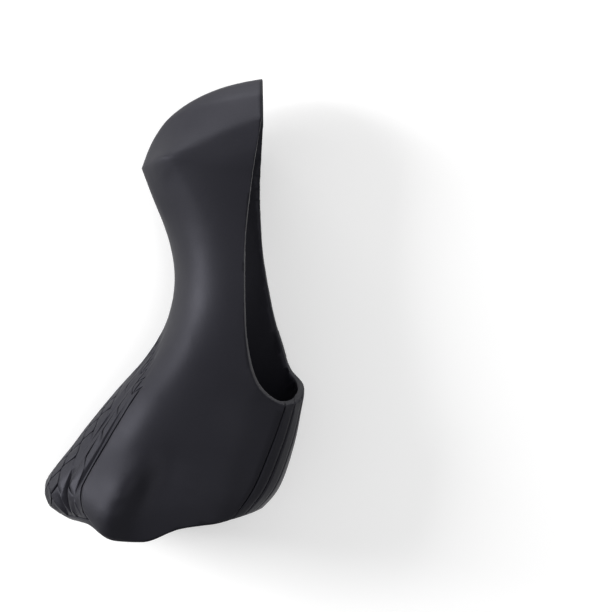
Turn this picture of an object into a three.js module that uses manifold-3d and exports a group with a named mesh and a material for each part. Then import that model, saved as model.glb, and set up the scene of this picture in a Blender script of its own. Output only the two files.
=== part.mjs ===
// Rubber brake lever hood for the left side of a road bicycle's handlebar: one moulded shell.
// Millimetres. The hood is shaped standing, with the horn up: x runs from the palm face to the
// lever opening, y from the smooth inner side to the scaled outer side, z from the bar end to the
// horn. At the end it is laid on its outer side.
import * as THREE from "three";
import { mergeVertices } from "three/addons/utils/BufferGeometryUtils.js";
import Module from "manifold-3d";

// Walls and grooves
const WALL = 1.8;
const GROOVE_WIDTH = 0.5;
const GROOVE_DEPTH = 0.4;

// Lines that run from the bar end to the nose. Each knot is a station, x, z and half width.
const RIM_STATION = 4;
const BROW_STATION = 96.9;
const NOSE_X = 57.2;
const LAST_STATION = 145;
const PALM_LOW = [
  [RIM_STATION, 6.5, 5.4],
  [8, 1.6, 8.3],
  [12.5, 0, 12.5],
  [25, 7.8, 25],
  [37.5, 17.7, 37.5],
  [50, 28.4, 50],
  [56.3, 31.8, 56.3],
  [62.5, 33.6, 62.5],
  [70, 34.1, 70],
  [79.2, 32.3, 79.2],
  [88.5, 28.6, 88.5],
  [BROW_STATION, 25.5, 96.9],
];
const PALM_HIGH = [
  [BROW_STATION, 25.5, 96.9],
  [104.8, 28.4, 104.2],
  [110.2, 31.3, 108.6],
  [119.3, 38.3, 114.3],
  [128.5, 46.6, 118],
  [139.3, NOSE_X, 120.3],
  [LAST_STATION, 62.9, 121],
];
const FLAT = [
  [RIM_STATION, 5],
  [25, 5],
  [50, 4],
  [75, 3],
  [92, 2.4],
  [BROW_STATION, 1],
  [110.2, 0.5],
  [119.3, 2.3],
  [139.3, 4],
  [LAST_STATION, 4.2],
];
const CREASE = [
  [RIM_STATION, 15, 4.6, 14.5],
  [12.5, 12.5, 11.5, 16.2],
  [25, 19.5, 24.5, 16.2],
  [37.5, 27, 37.5, 15.8],
  [50, 35.2, 50, 14.4],
  [62.5, 39, 62.5, 12],
  [75, 38.4, 75, 11],
  [82.5, 35.6, 82.5, 9.6],
  [90, 30.6, 90, 6.8],
  [BROW_STATION, 26.6, 97.1, 3.4],
  [104.8, 28.9, 104, 1.6],
  [110.2, 31.7, 108.4, 1.4],
  [119.3, 38.3, 112, 5.2],
  [128.5, 46.7, 114.5, 7.4],
  [139.3, NOSE_X, 116.2, 8.8],
  [LAST_STATION, 62.9, 116.8, 9.1],
];
const SHOULDER = [
  [RIM_STATION, 26, 3.6, 17],
  [12.5, 25, 10, 18],
  [25, 31, 24, 18],
  [37.5, 38, 37, 17.4],
  [50, 43.5, 50, 16.4],
  [62.5, 45.5, 62.5, 15],
  [75, 45.2, 75, 14.2],
  [82.5, 42.2, 82.5, 13.8],
  [90, 36.6, 90.5, 13],
  [BROW_STATION, 31.4, 98.2, 12.2],
  [104.8, 33.5, 100, 12.3],
  [110.2, 36.2, 101.3, 12.4],
  [119.3, 42.5, 103.8, 12.5],
  [128.5, 49.5, 106.8, 12.6],
  [139.3, NOSE_X, 109.4, 12.8],
  [LAST_STATION, 61, 110.9, 12.9],
];
const SIDE = [
  [RIM_STATION, 44, 4.2, 17],
  [12.5, 46, 11.5, 17.6],
  [25, 48, 24.5, 17.4],
  [37.5, 51, 37.5, 16.6],
  [50, 55, 50, 16],
  [75, 57, 75, 15.2],
  [BROW_STATION, 53, 94, 15.1],
  [110.2, 53.5, 97, 15.2],
  [139.3, 61, 99.5, 15.5],
  [LAST_STATION, 64, 100, 15.5],
];
const STRAP_CORNER = [
  [RIM_STATION, 56, 7.4, 10.5],
  [12.5, 61, 12.5, 11],
  [25, 65.6, 25, 11],
  [37.5, 68, 37.5, 11],
  [50, 71, 50, 12],
  [BROW_STATION, 73, 88, 12],
  [LAST_STATION, 72, 94, 12],
];
const STRAP_FRONT = [
  [RIM_STATION, 57.8, 8.2],
  [12.5, 61.7, 12.7],
  [25, 65.9, 25],
  [37.5, 68.3, 37.5],
  [50, 72, 50],
  [BROW_STATION, 74, 88],
  [LAST_STATION, 73, 94],
];

// Bump on the inner side above the rim, and the lobe of the rim below it
const BUMP_HEIGHT = 4;
const BUMP_TOP = new THREE.Vector2(26.5, 20);
const BUMP_FOOT = new THREE.Vector2(16, 5);
const BUMP_BACK = 6.5;
const BUMP_FRONT = 4.2;
const LOBE_DROP = 3.6;
const LOBE_BACK = [12, 19];
const LOBE_FRONT = [28, 35.5];

// Lever opening: its edge on each side, from the nose down to the strap, as x and z
const EDGE_INNER = [
  [NOSE_X, 110],
  [54.3, 93],
  [52.5, 76],
  [52.9, 54],
  [55.4, 41.5],
  [60.5, 35.2],
  [66.5, 33.6],
  [74, 33.6],
];
const EDGE_OUTER = [
  [NOSE_X, 110],
  [56.3, 92],
  [57.2, 74],
  [60.1, 58.5],
  [63, 50.5],
  [65.2, 45],
  [69, 43.4],
  [76, 43.4],
];
const EDGE_HALF_WIDTH = 15.3;
const EDGE_STEPS = 40;

// Scales: rows shorten from the hem to the top of the patch
const HEM_STATION = 5.7;
const FIRST_ROW = 4.05;
const ROW_RATIO = 0.9567;
const ROWS = 33;
const SCALE_POINT = 0.4;
const RIB_POINT = 0.44;
const RIB_BAND = 10;
const LOOSE_STRIPS = 4;
const LOOSE_GROOVE = 0.5;
const PATCH_PALM = -8;
const PATCH_FRONT = 21;
const PATCH_APEX = 12;

// Grooves on the strap: place on the section at the rim and at the opening
const STRAP_GROOVES = [
  [4.45, 4.93],
  [4.8, 5.25],
  [5.2, 5.62],
];
const STRAP_GROOVE_TOP = 36;

// Rows of the mesh above the scales
const MERGE_STATION = 79.6;
const HIGH_ROWS = [
  MERGE_STATION, 82.5, 86, 89.5, 92.5, 95, 96.3, BROW_STATION, 97.6, 100, 103, 106.5, 110.2, 112.5,
  115.5, 119.3, 124, 129, 134, 139.3, LAST_STATION,
];
const LEAST_ROW = 2.6;
const BUMP_ROWS = 6;
const LAST_BUMP_COLUMN = -16;

// How it lies: on the outer side, turned a little until both ends touch the ground, in degrees
const REST_ROLL = -4.1;
const REST_PITCH = -3.5;

const clamp01 = (t) => Math.min(1, Math.max(0, t));
const ease = (t, from, to) => {
  const s = clamp01((t - from) / (to - from));
  return s * s * (3 - 2 * s);
};
const mix = (a, b, t) => a + (b - a) * t;

// A smooth curve through knots whose first value is the station
function curveThrough(knots) {
  const slopes = knots.map((knot, i) => {
    const before = knots[Math.max(0, i - 1)];
    const after = knots[Math.min(knots.length - 1, i + 1)];
    const rise = (a, b, n) => (b[n] - a[n]) / (b[0] - a[0]);
    return knot.map((_, n) => {
      if (before === knot) return rise(knot, after, n);
      if (after === knot) return rise(before, knot, n);
      const share = (knot[0] - before[0]) / (after[0] - before[0]);
      return mix(rise(before, knot, n), rise(knot, after, n), share);
    });
  });
  return (station) => {
    let i = 0;
    while (i < knots.length - 2 && station > knots[i + 1][0]) i++;
    const [a, b] = [knots[i], knots[i + 1]];
    const gap = b[0] - a[0];
    const t = clamp01((station - a[0]) / gap);
    const t2 = t * t;
    const t3 = t2 * t;
    return a.slice(1).map(
      (value, n) =>
        value * (2 * t3 - 3 * t2 + 1) +
        b[n + 1] * (3 * t2 - 2 * t3) +
        gap * (slopes[i][n + 1] * (t3 - 2 * t2 + t) + slopes[i + 1][n + 1] * (t3 - t2)),
    );
  };
}

const palmLow = curveThrough(PALM_LOW);
const palmHigh = curveThrough(PALM_HIGH);
const flat = curveThrough(FLAT);
const strapFront = curveThrough(STRAP_FRONT);
const corners = [CREASE, SHOULDER, SIDE, STRAP_CORNER].map(curveThrough);

// The corners of half a section, from the middle of the palm to the middle of the strap
function sectionCorners(station) {
  const [x, z] = station < BROW_STATION ? palmLow(station) : palmHigh(station);
  const [frontX, frontZ] = strapFront(station);
  const points = [new THREE.Vector3(x, 0, z), new THREE.Vector3(x, flat(station)[0], z)];
  for (const corner of corners) {
    const [cx, cz, half] = corner(station);
    points.push(new THREE.Vector3(cx, half, cz));
  }
  points.push(new THREE.Vector3(frontX, 0, frontZ));
  return points;
}

// How far the rounding of each corner reaches along the side before it and after it:
// soft on the grip, crisp on the horn
const SOFT = [[0, 0], [1, 0.5], [0.5, 0.5], [0.5, 0.5], [0.5, 0.5], [0.5, 0.9], [0, 0]];
const CRISP = [[0, 0], [0.4, 0.3], [0.2, 0.13], [0.13, 0.12], [0.4, 0.4], [0.5, 0.9], [0, 0]];
const CRISP_FROM = 92;
const CRISP_AT = 106;

function bumpOn(x, z) {
  const along = BUMP_TOP.clone().sub(BUMP_FOOT);
  const away = new THREE.Vector2(x, z).sub(BUMP_FOOT);
  const length = along.length();
  along.normalize();
  const up = away.dot(along) / length;
  const across = away.x * along.y - away.y * along.x;
  const spread = across < 0 ? BUMP_BACK : BUMP_FRONT;
  return BUMP_HEIGHT * Math.exp(-((across / spread) ** 2)) * (1 - ease(up, 0.55, 1.35));
}

const cornerStore = new Map();
function cornersAt(station) {
  if (!cornerStore.has(station)) cornerStore.set(station, sectionCorners(station));
  return cornerStore.get(station);
}

// The outside of the hood. The place counts corners from the palm, below zero on the inner side
function skin(station, place) {
  const points = cornersAt(station);
  const w = Math.min(Math.abs(place), points.length - 1);
  const crisp = ease(station, CRISP_FROM, CRISP_AT);
  const on = (t) => {
    const i = Math.min(Math.floor(t), points.length - 2);
    return points[i].clone().lerp(points[i + 1], t - i);
  };
  let point = on(w);
  for (let c = 1; c < points.length - 1; c++) {
    const from = c - mix(SOFT[c][0], CRISP[c][0], crisp);
    const to = c + mix(SOFT[c][1], CRISP[c][1], crisp);
    if (w <= from || w >= to) continue;
    const t = (w - from) / (to - from);
    const first = on(from).lerp(points[c], t);
    point = first.lerp(points[c].clone().lerp(on(to), t), t);
  }
  if (place < 0) {
    const lobe = ease(point.x, ...LOBE_BACK) * (1 - ease(point.x, ...LOBE_FRONT));
    point.y += bumpOn(point.x, point.z) * ease(point.y, 6, 14);
    point.z -= LOBE_DROP * lobe * (1 - ease(station, RIM_STATION, 18)) * ease(point.y, 6, 14);
    point.y = -point.y;
  }
  return point;
}

// Columns of the mesh. Up to the side corner, each stands at a number of strips of equal width on
// the grip, and at a place on the horn; the columns in between end at the merge row
const SIDE_PLACE = 4;
const SIDE_STRIPS = 24;
const OUTER_COLUMNS = [
  [0, 0], [2, 0.6], [4, 1], [6, 1.3], [8, 1.8], [10, 2], [12, 2.13], [14, 2.87], [16, 3], [18, 3.12],
  [20, 3.45], [22, 3.7], [SIDE_STRIPS, SIDE_PLACE],
];
const INNER_COLUMNS = [
  [0, 0], [2, 0.6], [4, 1], [6, 1.3], [8, 1.8], [9.2, 2], [10.5, 2.13], [11.8, 2.5], [13.1, 2.87],
  [14.4, 3], [15.8, 3.12], [17.5, 3.4], [20, 3.7], [SIDE_STRIPS, SIDE_PLACE],
];
const OUTER_FRONT = [4.33, 4.67, 5, 5.5];
const INNER_FRONT = [4.22];
const lengthStore = new Map();
function lengthsAt(station) {
  if (!lengthStore.has(station)) {
    const steps = 20 * SIDE_PLACE;
    const lengths = [0];
    let before = skin(station, 0);
    for (let n = 1; n <= steps; n++) {
      const point = skin(station, (n / steps) * SIDE_PLACE);
      lengths.push(lengths[n - 1] + point.distanceTo(before));
      before = point;
    }
    lengthStore.set(station, lengths);
  }
  return lengthStore.get(station);
}
function gripPlace(station, strips) {
  const lengths = lengthsAt(station);
  const length = (strips / SIDE_STRIPS) * lengths.at(-1);
  const n = Math.max(1, lengths.findIndex((l) => l >= length - 1e-9));
  const part = (length - lengths[n - 1]) / (lengths[n] - lengths[n - 1]);
  return ((n - 1 + part) / (lengths.length - 1)) * SIDE_PLACE;
}
function hornPlace(table, strips) {
  const n = Math.max(1, table.findIndex(([s]) => s >= strips));
  const [[s0, p0], [s1, p1]] = [table[n - 1], table[n]];
  return mix(p0, p1, (strips - s0) / (s1 - s0));
}
function columnsOf(table, side, lastFine, front) {
  const stops = table.slice(1).map(([strips]) => strips);
  for (let n = 1; n <= lastFine; n += 2) stops.push(n);
  stops.sort((a, b) => a - b);
  const list = stops.map((strips, n) => ({
    index: side * (n + 1),
    fine: strips <= lastFine && strips % 2 === 1,
    place: (station) =>
      side *
      mix(
        gripPlace(station, strips),
        hornPlace(table, strips),
        ease(station, MERGE_STATION - 12, 94),
      ),
  }));
  front.forEach((place) =>
    list.push({ index: side * (list.length + 1), fine: false, place: () => side * place }),
  );
  return list;
}
const outer = columnsOf(OUTER_COLUMNS, 1, PATCH_FRONT, OUTER_FRONT);
const inner = columnsOf(INNER_COLUMNS, -1, -PATCH_PALM, INNER_FRONT);
for (const [low, high] of STRAP_GROOVES)
  inner.push({
    index: -inner.length - 1,
    fine: false,
    groove: true,
    place: (station) =>
      -mix(low, high, clamp01((station - HEM_STATION) / (STRAP_GROOVE_TOP - HEM_STATION))),
  });
inner.push({ index: -inner.length - 1, fine: false, place: () => -6 });
const middle = { index: 0, fine: false, place: () => 0 };
const columns = [...inner.toReversed(), middle, ...outer];
const COLUMNS = columns.length;
const centre = columns.findIndex((column) => column.index === 0);

// A point of the skin between two columns; the last strip closes on the first column
function skinAt(column, station) {
  const i = Math.floor(column);
  const place = (n) => (n >= COLUMNS ? 6 : columns[n].place(station));
  const part = column - i;
  return skin(station, part ? mix(place(i), place(i + 1), part) : place(i));
}
function normalAt(column, station) {
  const across = skinAt(column < COLUMNS ? column + 0.02 : column, station);
  across.sub(skinAt(column >= 0.02 ? column - 0.02 : column, station));
  const low = Math.max(RIM_STATION, station - 0.05);
  const high = Math.min(LAST_STATION, station + 0.05);
  const up = skinAt(column, high).sub(skinAt(column, low));
  return up.cross(across).normalize();
}

// Net of nodes and edges on the skin
const nodes = [];
const nodeOf = new Map();
const edges = new Map();
function node(c, station) {
  const column = c % COLUMNS;
  const key = `${column}:${station.toFixed(4)}`;
  if (!nodeOf.has(key)) {
    nodeOf.set(key, nodes.length);
    nodes.push({ column, station, around: [] });
  }
  return nodeOf.get(key);
}
function edge(a, b, groove) {
  const key = a < b ? `${a}-${b}` : `${b}-${a}`;
  if (!edges.has(key)) {
    edges.set(key, { groove });
    nodes[a].around.push(b);
    nodes[b].around.push(a);
  }
  edges.get(key).groove ||= groove;
}
const grooved = (a, b) => edges.get(a < b ? `${a}-${b}` : `${b}-${a}`)?.groove ?? false;

// Rows of scales
const rowStations = [HEM_STATION];
for (let k = 0; k < ROWS; k++) rowStations.push(rowStations[k] + FIRST_ROW * ROW_RATIO ** k);
const rowPitch = (k) => FIRST_ROW * ROW_RATIO ** k;
const rowAt = (station) => rowStations.findIndex((v) => v >= station);
const stepRow = rowAt(34);
const palmRow = stepRow - PATCH_PALM;
const ribRow = ROWS - PATCH_APEX;
function patchFrom(k) {
  if (k < stepRow) return PATCH_PALM;
  if (k < palmRow) return PATCH_PALM + (k - stepRow);
  return Math.max(0, k - ribRow);
}
function patchTo(k) {
  return Math.min(PATCH_FRONT, PATCH_APEX + (ROWS - k));
}
const inPatch = (i, k) => k >= 0 && k < ROWS && i >= patchFrom(k) && i < patchTo(k);
const touched = (i, k) =>
  inPatch(i, k) || inPatch(i - 1, k) || inPatch(i, k - 1) || inPatch(i - 1, k - 1);
const inRibs = (i, k) => i >= 0 && ribRow + i - k < RIB_BAND && k >= ribRow - 2;
function rowStation(i, k) {
  if (k === 0 || !touched(i, k)) return rowStations[k];
  const point = (inRibs(i, k) ? RIB_POINT : SCALE_POINT) * rowPitch(k);
  return rowStations[k] + ((i + k) % 2 === 0 ? point : -point);
}

const rungs = columns.map(() => []);
const grooveRuns = columns.map(() => []);
function rung(i, k, groove) {
  const c = i + centre;
  rungs[c].push([node(c, rowStation(i, k)), node(c + 1, rowStation(i + 1, k)), groove]);
}
const baseRows = [];
for (let k = 1; k <= ROWS; k++) {
  const last = baseRows.length ? rowStations[baseRows.at(-1)] : RIM_STATION;
  if (rowStations[k] - last >= LEAST_ROW && MERGE_STATION - rowStations[k] > 1) baseRows.push(k);
}
for (let c = 0; c < COLUMNS; c++) {
  const i = columns[c].index;
  const patched = i >= PATCH_PALM && i < PATCH_FRONT;
  for (let k = 0; k <= ROWS; k++) {
    const here = patched && inPatch(i, k);
    const below = patched && inPatch(i, k - 1);
    if (here || below) {
      const rising = (i + k) % 2 !== 0;
      const row = here ? k : k - 1;
      const border = !(here && below);
      const loose = !border && i < patchFrom(row) + LOOSE_STRIPS && row < palmRow;
      if (loose && !(rising && (i + 1) % 2 === 0)) continue;
      if (!border && inRibs(i, k) && !rising) continue;
      rung(i, k, true);
    } else if (baseRows.includes(k)) rung(i, k, false);
  }
  if (i < PATCH_PALM && i >= LAST_BUMP_COLUMN)
    for (let k = 0; k < BUMP_ROWS; k++) {
      const between = (rowStations[k] + rowStations[k + 1]) / 2;
      rungs[c].push([node(c, between), node(c + 1, between), false]);
    }
  rungs[c].push([node(c, RIM_STATION), node(c + 1, RIM_STATION), false]);
  rungs[c].push([node(c, MERGE_STATION), node(c + 1, MERGE_STATION), false]);
}
for (let i = PATCH_PALM; i <= PATCH_FRONT; i++)
  for (let k = 0; k < ROWS; k++) {
    const [left, right] = [inPatch(i - 1, k), inPatch(i, k)];
    if (!left && !right) continue;
    const low = rowStation(i, k);
    const high = rowStation(i, k + 1);
    const loose = left && right && i < patchFrom(k) + LOOSE_STRIPS && k < palmRow;
    const short = (i + k) % 2 === 0;
    if (left !== right || (short && !(loose && i % 2 !== 0))) grooveRuns[i + centre].push([low, high]);
    if (loose && short && i % 2 === 0 && inPatch(i, k + 1)) {
      const end = mix(high, rowStation(i, k + 2), LOOSE_GROOVE);
      node(i + centre, end);
      grooveRuns[i + centre].push([high, end]);
    }
    node(i + centre, low);
    node(i + centre, high);
  }
columns.forEach((column, c) => {
  if (column.groove) grooveRuns[c].push([RIM_STATION, MERGE_STATION]);
});

// Nodes of each column in order, and the edges between them
const byColumn = columns.map(() => []);
nodes.forEach((n, id) => byColumn[n.column].push(id));
for (const list of byColumn) list.sort((a, b) => nodes[a].station - nodes[b].station);
byColumn.forEach((list, c) => {
  for (let n = 1; n < list.length; n++) {
    const middle = (nodes[list[n - 1]].station + nodes[list[n]].station) / 2;
    const groove = grooveRuns[c].some(([low, high]) => middle > low && middle < high);
    edge(list[n - 1], list[n], groove);
  }
});
rungs.forEach((strip) => strip.forEach(([a, b, groove]) => edge(a, b, groove)));

// Faces of the net: each a loop of nodes, with the strip that it lies in
const faces = [];
const sum = ([a, b]) => nodes[a].station + nodes[b].station;
rungs.forEach((strip, c) => {
  strip.sort((a, b) => sum(a) - sum(b));
  const between = (list, low, high) =>
    list.filter((id) => {
      const { station } = nodes[id];
      return station > nodes[low].station + 1e-6 && station < nodes[high].station - 1e-6;
    });
  for (let n = 1; n < strip.length; n++) {
    const [a, b] = strip[n - 1];
    const [d, e] = strip[n];
    const right = between(byColumn[(c + 1) % COLUMNS], b, e);
    const left = between(byColumn[c], a, d).toReversed();
    const loop = [a, b, ...right, e, d, ...left].filter((id, m, all) => id !== all[(m + 1) % all.length]);
    faces.push({ strip: c, loop });
  }
});

// Above the merge row the fine columns are left out
const kept = columns.map((_, c) => c).filter((c) => !columns[c].fine);
kept.forEach((c, n) => {
  const next = n + 1 < kept.length ? kept[n + 1] : COLUMNS;
  for (let r = 1; r < HIGH_ROWS.length; r++) {
    const loop = [node(c, HIGH_ROWS[r - 1])];
    if (r === 1 && next - c > 1) loop.push(node(c + 1, HIGH_ROWS[0]));
    loop.push(node(next, HIGH_ROWS[r - 1]), node(next, HIGH_ROWS[r]), node(c, HIGH_ROWS[r]));
    loop.forEach((id, m) => edge(id, loop[(m + 1) % loop.length], false));
    faces.push({ strip: c, loop, wide: next - c });
  }
});

// Grooves turn nodes where two or more of them meet into valley points
const positions = [];
const triangles = [];
function vertex(point) {
  positions.push(point.x, point.y, point.z);
  return positions.length / 3 - 1;
}
for (const n of nodes) {
  n.point = skinAt(n.column, n.station);
  n.id = nodes.indexOf(n);
}
for (const n of nodes) {
  n.grooves = n.around.filter((other) => grooved(n.id, other));
  n.valley = n.grooves.length > 1;
  const sink = n.valley ? GROOVE_DEPTH : 0;
  n.vertex = vertex(n.point.clone().addScaledVector(normalAt(n.column, n.station), -sink));
}

// A column number on the same turn as the strip, since the last strip closes on the first column
const turned = (column, strip) => (column < strip - 1 ? column + COLUMNS : column);
const lips = new Map();
function lipOnEdge(a, b) {
  const key = `${a}>${b}`;
  if (!lips.has(key)) {
    const [from, to] = [nodes[a], nodes[b]];
    const along = to.point.clone().sub(from.point);
    const length = along.length();
    along.normalize();
    const sharpest = Math.min(
      ...from.grooves.map((g) => along.angleTo(nodes[g].point.clone().sub(from.point))),
    );
    const reach = GROOVE_WIDTH / 2 / Math.max(0.35, Math.sin(Math.min(sharpest, Math.PI / 2)));
    const t = Math.min(reach / length, 0.42);
    const wraps = Math.abs(to.column - from.column) > COLUMNS / 2;
    const start = wraps && from.column === 0 ? COLUMNS : from.column;
    const end = wraps && to.column === 0 ? COLUMNS : to.column;
    lips.set(key, vertex(skinAt(mix(start, end, t), mix(from.station, to.station, t))));
  }
  return lips.get(key);
}
function lipInCorner(face, before, at, after) {
  const n = nodes[at];
  const column = turned(n.column, face.strip);
  const toBefore = nodes[before].point.clone().sub(n.point);
  const toAfter = nodes[after].point.clone().sub(n.point);
  const lengths = [toBefore.length(), toAfter.length()];
  toBefore.normalize();
  toAfter.normalize();
  const angle = toBefore.angleTo(toAfter);
  const side = column > face.strip ? -1 : 1;
  const other = skinAt(column + side, n.station);
  const stripWidth = other.distanceTo(n.point);
  if (angle > 2.9) return vertex(skinAt(column + (side * GROOVE_WIDTH) / 2 / stripWidth, n.station));
  const reach = Math.min(GROOVE_WIDTH / 2 / Math.sin(angle), 0.4 * Math.min(...lengths));
  const shift = (other, length) => [
    ((turned(nodes[other].column, face.strip) - column) * reach) / length,
    ((nodes[other].station - n.station) * reach) / length,
  ];
  const [c1, s1] = shift(before, lengths[0]);
  const [c2, s2] = shift(after, lengths[1]);
  return vertex(skinAt(column + c1 + c2, n.station + s1 + s2));
}
function fill(loop) {
  const unique = loop.filter((id, m) => id !== loop[(m + 1) % loop.length]);
  if (unique.length < 3) return;
  const at = (id) => new THREE.Vector3().fromArray(positions, id * 3);
  const points = unique.map(at);
  if (unique.length === 4) {
    const long = points[0].distanceTo(points[2]) > points[1].distanceTo(points[3]);
    const [a, b, c, d] = long ? [unique[1], unique[2], unique[3], unique[0]] : unique;
    triangles.push(a, c, b, a, d, c);
    return;
  }
  const normal = new THREE.Vector3();
  points.forEach((p, m) => normal.add(p.clone().cross(points[(m + 1) % points.length])));
  const turn = new THREE.Quaternion().setFromUnitVectors(
    normal.normalize(),
    new THREE.Vector3(0, 0, 1),
  );
  const drawn = points.map((p) => {
    const q = p.clone().applyQuaternion(turn);
    return new THREE.Vector2(q.x, q.y);
  });
  const cut = THREE.ShapeUtils.triangulateShape(drawn, []);
  if (cut.length === unique.length - 2) {
    for (const [a, b, c] of cut) triangles.push(unique[a], unique[c], unique[b]);
    return;
  }
  const total = points.reduce((whole, p) => whole.add(p), new THREE.Vector3());
  const hub = vertex(total.divideScalar(unique.length));
  unique.forEach((id, m) => triangles.push(hub, unique[(m + 1) % unique.length], id));
}
for (const face of faces) {
  const { loop } = face;
  const size = loop.length;
  const top = [];
  const startOf = [];
  const endOf = [];
  loop.forEach((at, m) => {
    const before = loop[(m + size - 1) % size];
    const after = loop[(m + 1) % size];
    const n = nodes[at];
    let [end, start] = [n.vertex, n.vertex];
    if (n.valley) {
      const [grooveIn, grooveOut] = [grooved(before, at), grooved(at, after)];
      if (grooveIn && grooveOut) end = start = lipInCorner(face, before, at, after);
      else {
        end = start = lipOnEdge(at, grooveIn ? after : before);
        if (!grooveIn && !grooveOut) {
          start = lipOnEdge(at, after);
          fill([n.vertex, start, end]);
        }
      }
    }
    endOf[m] = end;
    startOf[m] = start;
    top.push(end);
    if (start !== end) top.push(start);
  });
  fill(top);
  loop.forEach((at, m) => {
    const next = (m + 1) % size;
    if (grooved(at, loop[next]))
      fill([nodes[at].vertex, nodes[loop[next]].vertex, endOf[next], startOf[m]]);
  });
}

// Inside of the shell: a coarser skin moved in by the wall
const INNER_ROWS = [
  RIM_STATION, 8, 12.5, 17, 22, 27, 32, 37.5, 43, 49, 55, 61, 67, 73, 79, 85, 90, 94, 98, 103, 109,
  115, 121, 128, 134, 139.3, LAST_STATION,
];
const INNER_PLACES = [0.01, 1.3, 1.75, 2.25, 2.75, 3.3, 3.8, 4.3, 4.8, 5.3];
const around = [
  ...INNER_PLACES.toReversed().map((place) => -place), ...INNER_PLACES.slice(1), 6,
];
const coarse = new THREE.BufferGeometry();
const coarsePoints = INNER_ROWS.flatMap((station) =>
  around.flatMap((place) => skin(station, place).toArray()),
);
const coarseFaces = [];
for (let r = 1; r < INNER_ROWS.length; r++)
  for (let c = 0; c < around.length; c++) {
    const next = (c + 1) % around.length;
    const [low, high] = [(r - 1) * around.length, r * around.length];
    coarseFaces.push(low + c, high + next, low + next, low + c, high + c, high + next);
  }
coarse.setAttribute("position", new THREE.Float32BufferAttribute(coarsePoints, 3));
coarse.setIndex(coarseFaces);
coarse.computeVertexNormals();
const innerStart = positions.length / 3;
for (let n = 0; n < coarsePoints.length / 3; n++) {
  const point = new THREE.Vector3().fromBufferAttribute(coarse.attributes.position, n);
  const normal = new THREE.Vector3().fromBufferAttribute(coarse.attributes.normal, n);
  vertex(point.addScaledVector(normal, -WALL));
}
for (let n = 0; n < coarseFaces.length; n += 3)
  triangles.push(
    innerStart + coarseFaces[n],
    innerStart + coarseFaces[n + 2],
    innerStart + coarseFaces[n + 1],
  );

// Rim and nose end: rings between the outside and the inside
function ring(station, row, flip) {
  const outside = (station === RIM_STATION ? columns.map((_, c) => c) : kept).map((c) => ({
    place: columns[c].place(station),
    id: nodes[node(c, station)].vertex,
  }));
  const inside = around.map((place, n) => ({
    place: place === 6 ? -6 : place,
    id: innerStart + row * around.length + n,
  }));
  inside.sort((a, b) => a.place - b.place);
  outside.push({ place: 6, id: outside[0].id });
  inside.push({ place: 6, id: inside[0].id });
  let [o, i] = [0, 0];
  while (o < outside.length - 1 || i < inside.length - 1) {
    const outsideNext = o < outside.length - 1 ? outside[o + 1].place : Infinity;
    const insideNext = i < inside.length - 1 ? inside[i + 1].place : Infinity;
    const face =
      outsideNext <= insideNext
        ? [outside[o].id, inside[i].id, outside[++o].id]
        : [outside[o].id, inside[i].id, inside[++i].id];
    triangles.push(...(flip ? face : face.toReversed()));
  }
}
ring(RIM_STATION, 0, false);
ring(LAST_STATION, INNER_ROWS.length - 1, true);

const wasm = await Module();
wasm.setup();
function solidOf(geometry) {
  const bare = geometry.clone();
  bare.deleteAttribute("normal");
  bare.deleteAttribute("uv");
  const merged = mergeVertices(bare, 1e-4);
  return new wasm.Manifold(
    new wasm.Mesh({
      numProp: 3,
      vertProperties: merged.attributes.position.array,
      triVerts: new Uint32Array(merged.index.array),
    }),
  );
}
function geometryOf(solid) {
  const mesh = solid.getMesh();
  return new THREE.BufferGeometry()
    .setAttribute("position", new THREE.Float32BufferAttribute(mesh.vertProperties, 3))
    .setIndex(new THREE.BufferAttribute(mesh.triVerts, 1));
}
const shellGeometry = new THREE.BufferGeometry()
  .setAttribute("position", new THREE.Float32BufferAttribute(positions, 3))
  .setIndex(triangles);
const shell = solidOf(shellGeometry);

// The space in front of the opening: ruled between the edge on the inner side and on the outer side
const toPoint = ([x, z]) => new THREE.Vector2(x, z);
const edgeInner = new THREE.SplineCurve(EDGE_INNER.map(toPoint)).getPoints(EDGE_STEPS);
const edgeOuter = new THREE.SplineCurve(EDGE_OUTER.map(toPoint)).getPoints(EDGE_STEPS);
const TOP_Z = 130;
const FRONT_X = 90;
function cutterSide(share) {
  const line = edgeInner.map((p, n) => p.clone().lerp(edgeOuter[n], share));
  const foot = line.at(-1).y;
  return [new THREE.Vector2(NOSE_X, TOP_Z), ...line, new THREE.Vector2(FRONT_X, foot),
    new THREE.Vector2(FRONT_X, TOP_Z)];
}
const sides = [-0.5, 1.5].map(cutterSide);
const cutterPoints = sides.flatMap((outline, n) =>
  outline.flatMap((p) => [p.x, (n ? 2 : -2) * EDGE_HALF_WIDTH, p.y]),
);
const count = sides[0].length;
const cutterFaces = [];
for (let n = 0; n < count; n++) {
  const next = (n + 1) % count;
  cutterFaces.push(n, count + n, count + next, n, count + next, next);
}
sides.forEach((outline, n) => {
  for (const [a, b, c] of THREE.ShapeUtils.triangulateShape(outline, []))
    cutterFaces.push(...(n ? [count + a, count + c, count + b] : [a, b, c]));
});
const cutter = new THREE.BufferGeometry()
  .setAttribute("position", new THREE.Float32BufferAttribute(cutterPoints, 3))
  .setIndex(cutterFaces);
const hoodSolid = shell.subtract(solidOf(cutter));

const rubber = new THREE.MeshStandardMaterial({ color: 0x2b2b30, roughness: 0.72, metalness: 0 });
const hood = new THREE.Mesh(geometryOf(hoodSolid), rubber);
hood.name = "hood";
const { degToRad } = THREE.MathUtils;
hood.geometry.rotateX(degToRad(-90));
hood.geometry.rotateY(degToRad(REST_ROLL));
hood.geometry.rotateX(degToRad(REST_PITCH));
hood.geometry.computeBoundingBox();
const { min, max } = hood.geometry.boundingBox;
hood.geometry.translate(-(min.x + max.x) / 2, -(min.y + max.y) / 2, -min.z);
const group = new THREE.Group();
group.add(hood);

export default group;
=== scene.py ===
import math

import bmesh
import bpy
from mathutils import Matrix, Vector


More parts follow.
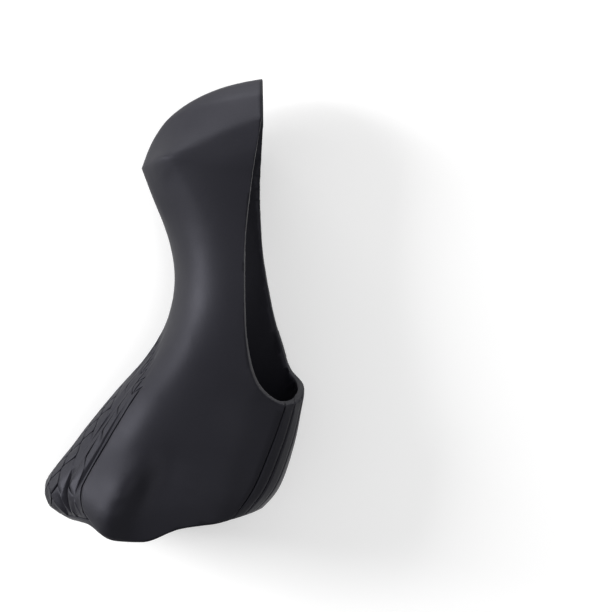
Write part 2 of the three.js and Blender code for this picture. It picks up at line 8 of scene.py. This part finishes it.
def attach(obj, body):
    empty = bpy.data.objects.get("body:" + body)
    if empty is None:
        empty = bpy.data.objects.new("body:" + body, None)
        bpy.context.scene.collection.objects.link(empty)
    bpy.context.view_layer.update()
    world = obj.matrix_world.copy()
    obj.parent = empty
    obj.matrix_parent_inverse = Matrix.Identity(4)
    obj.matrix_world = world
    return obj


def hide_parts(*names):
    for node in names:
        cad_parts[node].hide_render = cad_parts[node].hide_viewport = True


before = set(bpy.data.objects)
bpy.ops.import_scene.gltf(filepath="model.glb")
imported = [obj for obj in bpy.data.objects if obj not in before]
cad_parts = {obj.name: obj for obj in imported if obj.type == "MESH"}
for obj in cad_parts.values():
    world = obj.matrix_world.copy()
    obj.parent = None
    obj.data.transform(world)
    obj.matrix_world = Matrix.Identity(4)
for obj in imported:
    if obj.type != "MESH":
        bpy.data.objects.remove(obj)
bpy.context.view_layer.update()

# The photograph looks straight at the smooth inner side. These are its right, its up and the way
# that it looks, in the frame of the lying hood, and its width in metres and in pixels.
PHOTO_RIGHT = Vector((0.9974, 0.0044, 0.0714))
PHOTO_UP = Vector((0.0, 0.9981, -0.0610))
PHOTO_VIEW = PHOTO_RIGHT.cross(PHOTO_UP) * -1
PHOTO_WIDTH = 0.1594
PHOTO_PIXELS = 612
PHOTO_MIDDLE = PHOTO_PIXELS // 2
METRES_PER_PIXEL = PHOTO_WIDTH / PHOTO_PIXELS

# The middle of the hood, in the frame and in the photograph
HOOD_CENTRE = Vector((0.0, 0.0, 0.0195))
HOOD_PIXEL = (176, 307)

# The lens is long, because the photograph shows hardly any perspective
LENS = 180
SENSOR_WIDTH = 36

# A fold outwards past the first angle is a cut lip, a fold inwards past the second one is the
# bottom of a groove, and any fold past the third one stays sharp when the skin is rounded
LIP_ANGLE = math.radians(64)
VALLEY_ANGLE = math.radians(70)
GROOVE_ANGLE = math.radians(40)
GROOVE_DEEPER = 0.00022
GROOVE_CREASE = 0.9

# The box that holds the lips of the lever opening, and how they are evened out
OPENING_FROM_X = 0.005
OPENING_Y = (-0.031, 0.0465)
EVEN_ROUNDS = 12
CORNER_ANGLE = math.radians(125)

# The hollow on the opening side of the bump: its middle in the photograph, its run up to the
# right, its depth, and its half length and half width
HOLLOW_PIXEL = (166, 472)
HOLLOW_RUN = Vector((0.62, 0.785))
HOLLOW_DEPTH = 0.0014
HOLLOW_SIZE = (0.008, 0.0034)

# Doubled points and slivers below these lengths are cleaned out of the copied mesh
SAME_POINT = 1e-6
SLIVER = 1e-5
# Triangles are joined into four-sided faces up to this fold, and up to this change of shape
FLAT_FOLD = math.radians(20)
FOUR_SIDED = math.radians(50)
ROUNDING_LEVELS = 2

# The rubber: near black with a cool sheen, and a grain too fine to see as a shape
RUBBER_COLOUR = (0.0042, 0.0041, 0.0062, 1)
RUBBER_SHEEN = (0.86, 0.86, 1, 1)
RUBBER_SHINE = 0.26
RUBBER_ROUGHNESS = (0.5, 0.6)
GRAIN_SIZE = 2400
GRAIN_STRENGTH = 0.3
GRAIN_DEPTH = 0.00008
BLOTCH_SIZE = 60

FLOOR_HALF = 1.5
FLOOR_COLOUR = (0.8, 0.8, 0.8, 1)
FLOOR_GLOW = (0.3, 0.3, 0.3, 1)
WORLD_STRENGTH = 0.4

# Each soft light: its name, place, the point it aims at, its size in metres, and its watts
SOFTBOXES = (
    ("left", (-0.75, 0.2, 0.3), (0, 0, 0.02), (0.3, 0.5), 10),
    ("crown", (-0.1, 0.9, 0.04), (0, 0.03, 0.03), (0.9, 0.3), 14),
    ("overhead", (0.3, -0.05, 0.9), (0, 0, 0.01), (0.6, 0.6), 2),
)


def in_opening(place):
    """Tells whether a point lies in the part of the hood with the lever opening."""
    return place.x > OPENING_FROM_X and OPENING_Y[0] < place.y < OPENING_Y[1]


def even_edge(lips, rounds):
    """Evens out the waves of a cut edge along its own line, and leaves its real corners."""
    lines = {}
    for edge in lips:
        for vert in edge.verts:
            lines.setdefault(vert, []).append(edge.other_vert(vert))
    loose = []
    for vert, ends in lines.items():
        if len(ends) == 2:
            before, after = (end.co - vert.co for end in ends)
            if min(before.length, after.length) > 0 and before.angle(after) > CORNER_ANGLE:
                loose.append((vert, ends))
    for _ in range(rounds):
        places = [(ends[0].co + ends[1].co) * 0.25 + vert.co * 0.5 for vert, ends in loose]
        for (vert, _), place in zip(loose, places):
            vert.co = place


def deepen_grooves(bm):
    """Pushes the bottoms of the grooves further in, so that they read as dark lines."""
    valleys = {v for e in bm.edges if e.calc_face_angle_signed(0) < -VALLEY_ANGLE for v in e.verts}
    bm.normal_update()
    for vert in valleys:
        vert.co -= vert.normal * GROOVE_DEEPER


def press_hollow(bm):
    """Presses in the soft hollow beside the bump, both faces of the upper wall together."""
    for vert in bm.verts:
        if vert.co.z < HOOD_CENTRE.z:
            continue
        away = vert.co - HOOD_CENTRE
        right = away.dot(PHOTO_RIGHT) - (HOLLOW_PIXEL[0] - HOOD_PIXEL[0]) * METRES_PER_PIXEL
        up = away.dot(PHOTO_UP) + (HOLLOW_PIXEL[1] - HOOD_PIXEL[1]) * METRES_PER_PIXEL
        along = (right * HOLLOW_RUN.x + up * HOLLOW_RUN.y) / HOLLOW_SIZE[0]
        across = (right * HOLLOW_RUN.y - up * HOLLOW_RUN.x) / HOLLOW_SIZE[1]
        vert.co += PHOTO_VIEW * HOLLOW_DEPTH * math.exp(-along * along - across * across)


def crease_grooves(bm):
    """Marks the sharp folds, so that the rounding leaves them crisp."""
    crease = bm.edges.layers.float.new("crease_edge")
    for edge in bm.edges:
        if edge.is_manifold and abs(edge.calc_face_angle_signed(0)) > GROOVE_ANGLE:
            edge[crease] = GROOVE_CREASE


def rubber_skin(node):
    """A finer skin on the moulded shell: rounded between facets, with the grooves kept sharp."""
    mesh = bpy.data.meshes.new("hood_skin")
    bm = bmesh.new()
    bm.from_mesh(node.data)
    bmesh.ops.remove_doubles(bm, verts=bm.verts, dist=SAME_POINT)
    bmesh.ops.dissolve_degenerate(bm, edges=bm.edges, dist=SLIVER)
    lips = [e for e in bm.edges if e.calc_face_angle_signed(0) > LIP_ANGLE]
    even_edge([e for e in lips if all(in_opening(v.co) for v in e.verts)], EVEN_ROUNDS)
    deepen_grooves(bm)
    press_hollow(bm)
    bmesh.ops.join_triangles(
        bm,
        faces=bm.faces,
        angle_face_threshold=FLAT_FOLD,
        angle_shape_threshold=FOUR_SIDED,
    )
    crease_grooves(bm)
    for face in bm.faces:
        face.smooth = True
    bm.to_mesh(mesh)
    bm.free()
    skin = bpy.data.objects.new("hood_skin", mesh)
    bpy.context.collection.objects.link(skin)
    rounding = skin.modifiers.new("rounding", "SUBSURF")
    rounding.levels = rounding.render_levels = ROUNDING_LEVELS
    return skin


def set_inputs(node, **values):
    """Sets constants on the sockets of a node, with underscores for the spaces in their names."""
    for name, value in values.items():
        node.inputs[name.replace("_", " ")].default_value = value


def moulded_grain():
    """The fine matte grain of the mould, as a height and as a change of gloss."""
    group = bpy.data.node_groups.new("moulded_grain", "ShaderNodeTree")
    for name, way in (("Grain size", "INPUT"), ("Height", "OUTPUT"), ("Gloss", "OUTPUT")):
        group.interface.new_socket(name, in_out=way, socket_type="NodeSocketFloat")
    ends = group.nodes.new("NodeGroupInput")
    out = group.nodes.new("NodeGroupOutput")
    place = group.nodes.new("ShaderNodeTexCoord")
    fine = group.nodes.new("ShaderNodeTexNoise")
    set_inputs(fine, Detail=3)
    broad = group.nodes.new("ShaderNodeTexNoise")
    set_inputs(broad, Scale=BLOTCH_SIZE, Detail=4)
    spread = group.nodes.new("ShaderNodeMapRange")
    set_inputs(spread, From_Min=0.3, From_Max=0.7)
    set_inputs(spread, To_Min=RUBBER_ROUGHNESS[0], To_Max=RUBBER_ROUGHNESS[1])
    group.links.new(place.outputs["Object"], fine.inputs["Vector"])
    group.links.new(place.outputs["Object"], broad.inputs["Vector"])
    group.links.new(ends.outputs["Grain size"], fine.inputs["Scale"])
    group.links.new(broad.outputs["Fac"], spread.inputs["Value"])
    group.links.new(fine.outputs["Fac"], out.inputs["Height"])
    group.links.new(spread.outputs["Result"], out.inputs["Gloss"])
    return group


def rubber_material():
    """Matte black rubber, with its grain as a bump and as a change of roughness."""
    material = bpy.data.materials.new("black_rubber")
    material.use_nodes = True
    tree = material.node_tree
    shader = tree.nodes["Principled BSDF"]
    set_inputs(shader, Base_Color=RUBBER_COLOUR, Specular_Tint=RUBBER_SHEEN)
    set_inputs(shader, Specular_IOR_Level=RUBBER_SHINE)
    grain = tree.nodes.new("ShaderNodeGroup")
    grain.node_tree = moulded_grain()
    set_inputs(grain, Grain_size=GRAIN_SIZE)
    bump = tree.nodes.new("ShaderNodeBump")
    set_inputs(bump, Strength=GRAIN_STRENGTH, Distance=GRAIN_DEPTH)
    tree.links.new(grain.outputs["Height"], bump.inputs["Height"])
    tree.links.new(bump.outputs["Normal"], shader.inputs["Normal"])
    tree.links.new(grain.outputs["Gloss"], shader.inputs["Roughness"])
    return material


def pale_floor():
    """A white table that glows a little, but only where the camera or a reflection sees it."""
    bm = bmesh.new()
    bmesh.ops.create_grid(bm, x_segments=1, y_segments=1, size=FLOOR_HALF)
    mesh = bpy.data.meshes.new("floor")
    bm.to_mesh(mesh)
    bm.free()
    floor = bpy.data.objects.new("floor", mesh)
    bpy.context.collection.objects.link(floor)
    material = bpy.data.materials.new("white_table")
    material.use_nodes = True
    tree = material.node_tree
    shader = tree.nodes["Principled BSDF"]
    set_inputs(shader, Base_Color=FLOOR_COLOUR, Roughness=0.9)
    set_inputs(shader, Specular_IOR_Level=0.1, Emission_Strength=1.0)
    path = tree.nodes.new("ShaderNodeLightPath")
    seen = tree.nodes.new("ShaderNodeMath")
    seen.operation = "MAXIMUM"
    glow = tree.nodes.new("ShaderNodeMix")
    glow.data_type = "RGBA"
    set_inputs(glow, A=(0, 0, 0, 1), B=FLOOR_GLOW)
    tree.links.new(path.outputs["Is Camera Ray"], seen.inputs[0])
    tree.links.new(path.outputs["Is Glossy Ray"], seen.inputs[1])
    tree.links.new(seen.outputs["Value"], glow.inputs["Factor"])
    tree.links.new(glow.outputs["Result"], shader.inputs["Emission Color"])
    mesh.materials.append(material)


def softbox(name, place, aim, size, watts):
    """A soft light with straight sides, turned towards the point that it aims at."""
    lamp = bpy.data.lights.new(name, "AREA")
    lamp.shape = "RECTANGLE"
    lamp.size, lamp.size_y = size
    lamp.energy = watts
    holder = bpy.data.objects.new(name, lamp)
    holder.location = place
    holder.rotation_euler = (Vector(aim) - Vector(place)).to_track_quat("-Z", "Y").to_euler()
    bpy.context.collection.objects.link(holder)


def white_world():
    """Even white light from all around."""
    world = bpy.data.worlds.new("studio")
    world.use_nodes = True
    set_inputs(world.node_tree.nodes["Background"], Color=(1, 1, 1, 1), Strength=WORLD_STRENGTH)
    bpy.context.scene.world = world


def photo_camera():
    """The camera, placed so that the hood sits where it does in the photograph."""
    camera = bpy.data.cameras.new("camera")
    camera.lens = LENS
    camera.sensor_width = SENSOR_WIDTH
    distance = PHOTO_WIDTH * camera.lens / camera.sensor_width
    middle = (
        HOOD_CENTRE
        + PHOTO_RIGHT * (PHOTO_MIDDLE - HOOD_PIXEL[0]) * METRES_PER_PIXEL
        + PHOTO_UP * (HOOD_PIXEL[1] - PHOTO_MIDDLE) * METRES_PER_PIXEL
    )
    turn = Matrix((PHOTO_RIGHT, PHOTO_UP, -PHOTO_VIEW)).transposed().to_4x4()
    holder = bpy.data.objects.new("camera", camera)
    holder.matrix_world = Matrix.Translation(middle - PHOTO_VIEW * distance) @ turn
    bpy.context.collection.objects.link(holder)
    bpy.context.scene.camera = holder


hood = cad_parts["hood"]
skin = rubber_skin(hood)
skin.data.materials.append(rubber_material())
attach(skin, "root")
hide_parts("hood")

pale_floor()
for light in SOFTBOXES:
    softbox(*light)
white_world()
photo_camera()
bpy.context.scene.view_settings.view_transform = "Standard"
